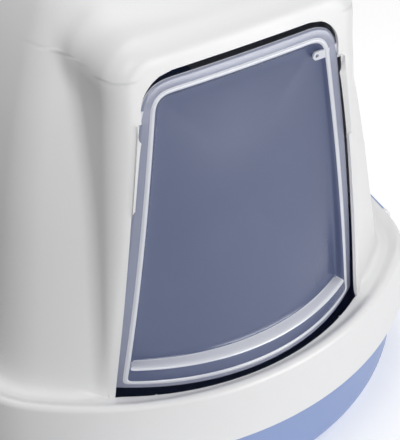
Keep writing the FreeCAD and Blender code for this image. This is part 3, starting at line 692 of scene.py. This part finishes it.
def build_vent_well():
    """The frame under the deck that the vent cover and its filter sit in, and its slotted floor."""
    low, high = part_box("filter_cover")
    middle = (low.y + high.y) / 2 / MM
    half_x, half_y = high.x / MM, (high.y - low.y) / 2 / MM
    under = low.z / MM - 0.2
    foot, head = DECK - WELL_DEPTH, DECK - WELL_UNDER_DECK
    sections = [(WELL_OUT, foot, 3), (WELL_OUT, head, 3), (WELL_LIP, head, 1), (WELL_LIP, under, 1),
                (WELL_IN, under, 1), (WELL_IN, foot, 1), (WELL_OUT, foot, 3)]
    rings = []
    for grow, level, corner in sections:
        loop = rounded_rectangle(half_x + grow, half_y + grow, corner, middle=(0, middle))
        rings.append([(px, py, level) for px, py in loop])
    rows, columns = len(rings), len(rings[0])
    walls = mesh_object("vent_well", [v for ring in rings for v in ring],
                        grid_faces(rows, columns), [WHITE], smooth=False)
    place = Matrix.Translation((0, middle * MM, (DECK - 13) * MM))
    slots = [rounded_rectangle(2, 27, 1.9, 4, ((i - 3) * 9.5, 0)) for i in range(7)]
    outline = rounded_rectangle(half_x - 3.6, half_y - 3.6, 1, 3)
    return [walls, plate("vent_grate", outline, slots, 2.2, place, WHITE, 0.3)]


def build_filter_pad():
    """The charcoal pad: a felt slab with soft edges and a slightly crowned top."""
    low, high = (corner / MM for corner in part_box("carbon_filter"))
    half_x, half_y = (high.x - low.x) / 2, (high.y - low.y) / 2
    middle_x, middle_y = (high.x + low.x) / 2, (high.y + low.y) / 2
    middle_z, half_z = (high.z + low.z) / 2, (high.z - low.z) / 2
    rings = []
    shares = np.linspace(0, 1, 12)[1:]
    profile = [(share, -1.0) for share in shares[:-1] * 0.955]
    profile += [(0.955 + 0.045 * math.sin(math.radians(t)), -math.cos(math.radians(t)))
                for t in range(0, 181, 18)]
    profile += [(share, 1.0) for share in shares[:-1][::-1] * 0.955]
    for share, height in profile:
        loop = rounded_rectangle(half_x * share, half_y * share, 3.5 * share, 5)
        ring = []
        for px, py in loop:
            sag = 0.5 * ((px / half_x) ** 4 + (py / half_y) ** 4) / 2
            lump = 0.12 * math.sin(px * 0.31 + 1.3) * math.sin(py * 0.27 + 0.4)
            ring.append((middle_x + px, middle_y + py, middle_z + height * (half_z - 0.15 - sag) + lump))
        rings.append(ring)
    rows, columns = len(rings), len(rings[0])
    verts = [v for ring in rings for v in ring]
    faces = grid_faces(rows, columns)
    for base, turned in ((0, True), ((rows - 1) * columns, False)):
        verts.append(tuple(np.mean(verts[base:base + columns], axis=0)))
        for c in range(columns):
            pair = (base + c, base + (c + 1) % columns)
            faces.append((pair[1], pair[0], len(verts) - 1) if turned else (*pair, len(verts) - 1))
    return mesh_object("filter_pad", verts, faces, [FELT])


# ---------------------------------------------------------------- tub


def build_tub():
    """The blue tub: rounded foot, shoulder under the skirt and a neck inside it."""
    outside = smooth_curve([(24, 0), (15, 0.8), (9.6, 5), (6.6, 12), (4.9, 26), (4.0, 42), (3.6, 57)], 46)
    shoulder = smooth_curve([(3.6, 57), (4.0, 59.4), (5.6, 60.5), (8.6, 61.0), (9.7, 62.6), (9.7, 66)], 18)
    neck = [(9.7, z) for z in np.linspace(66, 100.2, 10)]
    rim = [(10.0, 100.9), (10.6, 101.2), (11.4, 101.2), (12.0, 100.9), (12.3, 100.2)]
    inner_neck = [(12.3, z) for z in np.linspace(98, 63.5, 10)]
    inside = smooth_curve([(12.3, 63.5), (11.8, 59.4), (8.6, 57.8), (6.6, 54), (6.7, 42), (7.6, 27),
                           (9.8, 13.4), (13.2, 6.8), (19, 3.4), (26, 3)], 54)
    stretches = (outside, shoulder[1:], neck[1:], rim, inner_neck, inside[1:])
    profile = [tuple(point) for stretch in stretches for point in stretch]
    quarter = 46
    rings = []
    for inset, level in profile:
        x, y = whole_oval(inset, quarter)
        rings.append(np.column_stack([x, y, np.full(len(x), level)]))
    rows, columns = len(rings), len(rings[0])
    verts = np.concatenate(rings).tolist()
    faces = grid_faces(rows, columns)
    for ring, level, turned in ((0, 0.0, True), (rows - 1, 3.0, False)):
        base = ring * columns
        verts.append([0.0, 0.0, level])
        hub = len(verts) - 1
        for c in range(columns):
            pair = (base + c, base + (c + 1) % columns)
            faces.append((pair[1], pair[0], hub) if turned else (pair[0], pair[1], hub))
    return mesh_object("tub_shell", verts, faces, [BLUE])


# ---------------------------------------------------------------- flap


def trapezoid(low, top, half_low, half_top, foot_corner, head_corner):
    """Right half of a rounded trapezoid seen from the front, from the foot's middle to the head's."""
    slope = math.atan2(half_low - half_top, top - low)
    foot_cut = foot_corner / math.tan((math.pi / 2 - slope) / 2)
    head_cut = head_corner / math.tan((math.pi / 2 + slope) / 2)
    # the foot's inner angle is a right angle minus the slope, and the head's is a right angle plus it
    side = np.array([-math.sin(slope), math.cos(slope)])
    foot, head = np.array([half_low, low]), np.array([half_top, top])
    p1 = foot - np.array([foot_cut, 0])
    p2 = foot + side * foot_cut
    p3 = head - side * head_cut
    p4 = head - np.array([head_cut, 0])

    def arc(start, middle, end, count):
        t = np.linspace(0, 1, count)[:, None]
        return start * (1 - t) ** 2 + middle * 2 * t * (1 - t) + end * t ** 2

    foot_line = np.linspace([0, low], p1, 14)
    side_line = np.linspace(p2, p3, 26)
    head_line = np.linspace(p4, [0, top], 12)
    return np.vstack([foot_line, arc(p1, foot, p2, 5)[1:-1], side_line,
                      arc(p3, head, p4, 9)[1:-1], head_line])


FLAP_HALF_LOW, FLAP_HALF_TOP, FLAP_CORNER = 103.0, 73.2, 22.0
# rows of the flap's border: (inset at the foot, inset elsewhere, depth, material); material 1 paints a
# highlight on the edge and the bead, material 2 paints a reflection on the band between them
BORDER = [(0.0, 0.0, 0.8, 1), (0.1, 0.1, 0.3, 2), (0.4, 0.5, 0.0, 2), (1.0, 1.2, 0.0, 2),
          (2.2, 4.4, 0.0, 2), (3.3, 6.9, 0.0, 1), (3.5, 7.1, -0.45, 1), (3.8, 7.4, -0.65, 1),
          (4.1, 7.8, -0.65, 1), (4.3, 8.1, -0.45, 1), (4.5, 8.4, 0.0, 0), (5.4, 8.6, 0.1, 0)]
# rows of the ledge and the sunk panel: (foot level, inset elsewhere, depth low, depth high, material);
# material 1 paints a highlight on the finger ledge
SUNK = [(118.0, 8.8, 0.2, 0.2, 0), (122.2, 8.9, 0.3, 0.3, 1), (122.8, 9.1, 0.8, 0.5, 1),
        (123.1, 9.8, 3.1, 1.0, 1), (123.5, 11.0, 6.6, 2.0, 1), (124.0, 13.2, 8.6, 3.2, 0),
        (126.2, 18.0, 9.7, 4.4, 0), (132.0, 26.0, 9.9, 5.2, 0), (148.0, 40.0, 9.6, 5.9, 0),
        (174.0, 55.0, 9.0, 6.4, 0), (202.0, 66.0, 8.2, 6.8, 0)]


# the panel's depth and bow change between these levels, and its deepest point is at the hub
PANEL_LOW, PANEL_HIGH, PANEL_BOW = 126, 336, 0.0006
HUB_LEVEL, HUB_DEPTH, LEDGE_TOP = 234.0, 7.6, 124.6
# lower corner radius of the flap's outermost rows, up to an inset, and of the rows further in
EDGE_FOOT_CORNER, INNER_FOOT_CORNER, EDGE_INSET = 1.2, 3.4, 3


def flap_row(foot, inset, depth_low, depth_high):
    """One closed row of the flap: its foot's level, its inset from the edge, and its depths."""
    corner = max(FLAP_CORNER - inset, 3.0)
    foot_corner = EDGE_FOOT_CORNER if inset < EDGE_INSET else INNER_FOOT_CORNER
    slope = (FLAP_HALF_LOW - FLAP_HALF_TOP) / (FLAP_TOP - FLAP_LOW)
    half_low = FLAP_HALF_LOW - inset - slope * (foot - FLAP_LOW)
    half_high = FLAP_HALF_TOP - inset + slope * inset
    half = trapezoid(foot, FLAP_TOP - inset, half_low, half_high, foot_corner, corner)
    line = np.vstack([half, half[-2:0:-1] * (-1, 1)])
    share = np.clip((line[:, 1] - PANEL_LOW) / (PANEL_HIGH - PANEL_LOW), 0, 1)
    depth = depth_low + (depth_high - depth_low) * share
    depth = depth + PANEL_BOW * line[:, 0] ** 2 * (1 - share)
    y = face_front(line[:, 0], line[:, 1]) + FLAP_RECESS + depth
    return np.column_stack([line[:, 0], y, line[:, 1]])


def build_flap():
    """The flap: edge, bead, sunk panel and finger ledge, as rows from the outside in."""
    rings = [flap_row(FLAP_LOW + foot, inset, depth, depth) for foot, inset, depth, _ in BORDER]
    rings += [flap_row(foot, inset, low, high) for foot, inset, low, high, _ in SUNK]
    row_slots = [row[-1] for row in BORDER + SUNK]
    rows, columns = len(rings), len(rings[0])
    verts = np.concatenate(rings).tolist()
    faces = [face[::-1] for face in grid_faces(rows, columns)]
    # each quad takes its row's material; the painted highlight on the ledge stops at LEDGE_TOP
    slots = []
    for r in range(rows - 1):
        ledge = r >= len(BORDER) and row_slots[r] == 1
        for c in range(columns):
            corners = (r + 1) * columns + c, (r + 1) * columns + (c + 1) % columns
            at_foot = all(verts[corner][2] < LEDGE_TOP for corner in corners)
            slots.append(row_slots[r] if not ledge or at_foot else 0)
    verts.append([0.0, float(face_front(0.0, HUB_LEVEL)) + FLAP_RECESS + HUB_DEPTH, HUB_LEVEL])
    last = (rows - 1) * columns
    for c in range(columns):
        faces.append((last + (c + 1) % columns, last + c, len(verts) - 1))
        slots.append(0)
    flap = mesh_object("flap_panel", verts, faces, [SMOKE, SMOKE_PAINTED_HIGHLIGHT, SMOKE_PAINTED_REFLECTION], face_slots=slots)
    add_solidify(flap, FLAP_SHEET, offset=-1)
    subdivide = flap.modifiers.new("smooth", "SUBSURF")
    subdivide.levels = subdivide.render_levels = 2
    return apply_modifiers(flap)


# ---------------------------------------------------------------- staging


def build_floor():
    """White paper under the box and to its right, and a dark studio floor to its left."""
    reach, edge = 6000.0, -190.0
    for name, left, right, dark, light, glow in (("floor_paper", edge, reach, 0.93, 0.95, 0.22),
                                                 ("floor_dark", -reach, edge, 0.04, 0.06, 0.0)):
        verts = [(left, -reach, 0), (right, -reach, 0), (right, reach, 0), (left, reach, 0)]
        material, tree, shader, coords = new_material(name)
        grain = noise(tree, coords, 3.0, 2.0)
        tree.links.new(colour_between(tree, grain, (dark,) * 3, (light,) * 3), shader.inputs["Base Color"])
        shader.inputs["Roughness"].default_value = 0.9
        shader.inputs["Emission Color"].default_value = (1.0, 1.0, 1.0, 1.0)
        shader.inputs["Emission Strength"].default_value = glow
        mesh_object(name, verts, [(0, 1, 2, 3)], [material], smooth=False)


def add_area_light(name, place, target, size, power, colour=(1, 1, 1)):
    """A round area light aimed at a target."""
    light = bpy.data.lights.new(name, "AREA")
    light.shape = "DISK"
    light.size = size
    light.energy = power
    light.color = colour
    obj = bpy.data.objects.new(name, light)
    bpy.context.scene.collection.objects.link(obj)
    obj.location = place
    obj.rotation_euler = (Vector(target) - Vector(place)).to_track_quat("-Z", "Y").to_euler()
    return obj


def set_studio():
    """Even white surroundings and the lights."""
    world = bpy.data.worlds.new("studio")
    bpy.context.scene.world = world
    world.use_nodes = True
    background = world.node_tree.nodes["Background"]
    background.inputs["Color"].default_value = (1.0, 1.0, 1.0, 1)
    background.inputs["Strength"].default_value = 0.26
    bpy.context.scene.view_settings.view_transform = "Standard"
    for name, place, size, power in (("overhead", (-0.2, 0.1, 2.0), 1.6, 14),
                                     ("front", (-0.7, -2.1, 1.2), 0.9, 19),
                                     ("right", (1.7, -0.3, 1.2), 1.2, 10)):
        add_area_light(name, place, (0, -0.1, 0.2), size, power)
    # the card adds mirrored light only, no diffuse or transmitted light
    card = add_area_light("low_card", (0.4, -0.95, 0.06), (0, -0.25, 0.26), 0.8, 14)
    card.visible_diffuse = card.visible_transmission = False


CAMERA_PLACE = (-0.58218, -1.07702, 0.98544)
CAMERA_AZIMUTH, CAMERA_ELEVATION = 32.83, 36.79
CAMERA_LENS, SENSOR = 153.58, 36.0


def set_camera():
    """The camera that the object is matched from."""
    camera = bpy.data.cameras.new("camera")
    camera.lens = CAMERA_LENS
    camera.sensor_width = SENSOR
    obj = bpy.data.objects.new("camera", camera)
    bpy.context.scene.collection.objects.link(obj)
    obj.location = CAMERA_PLACE
    obj.rotation_euler = (math.radians(90 - CAMERA_ELEVATION), 0, math.radians(-CAMERA_AZIMUTH))
    bpy.context.scene.camera = obj


# ---------------------------------------------------------------- putting it together


def keep_on(body, slot, pieces, *nodes):
    """Pieces that ride on a body and stand for CAD nodes; the slot argument is not used."""
    for piece in pieces:
        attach(piece, body)
        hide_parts(*nodes)


set_camera()
set_studio()
build_floor()

keep_on("hood", "white_plastic", [finish_hood(build_hood())], "hood")
keep_on("hood", "white_plastic", build_latch_ears() + build_handle_ears() + build_bearings()
        + build_vent_well(), "hood")
keep_on("pan", "blue_plastic", [build_tub()], "base_pan")
keep_on("flap", "smoke_plastic", [build_flap()], "door_flap")

pad = build_filter_pad()
keep_on("filter_lid", "carbon_felt", [pad], "carbon_filter")

SLOT_MATERIALS = {"white_plastic": WHITE, "blue_plastic": BLUE, "grey_plastic": GREY,
                  "smoke_plastic": SMOKE, "carbon_felt": FELT}
slots = {part["node"]: part["material_slot"] for part in frame["record"]["subparts"]}
for node, obj in frame["nodes"].items():
    obj.data.materials.clear()
    # the flap's pivots are coloured with the same near-white smoke
    obj.data.materials.append(SMOKE_PAINTED_HIGHLIGHT if "pivot" in node else SLOT_MATERIALS[slots[node]])
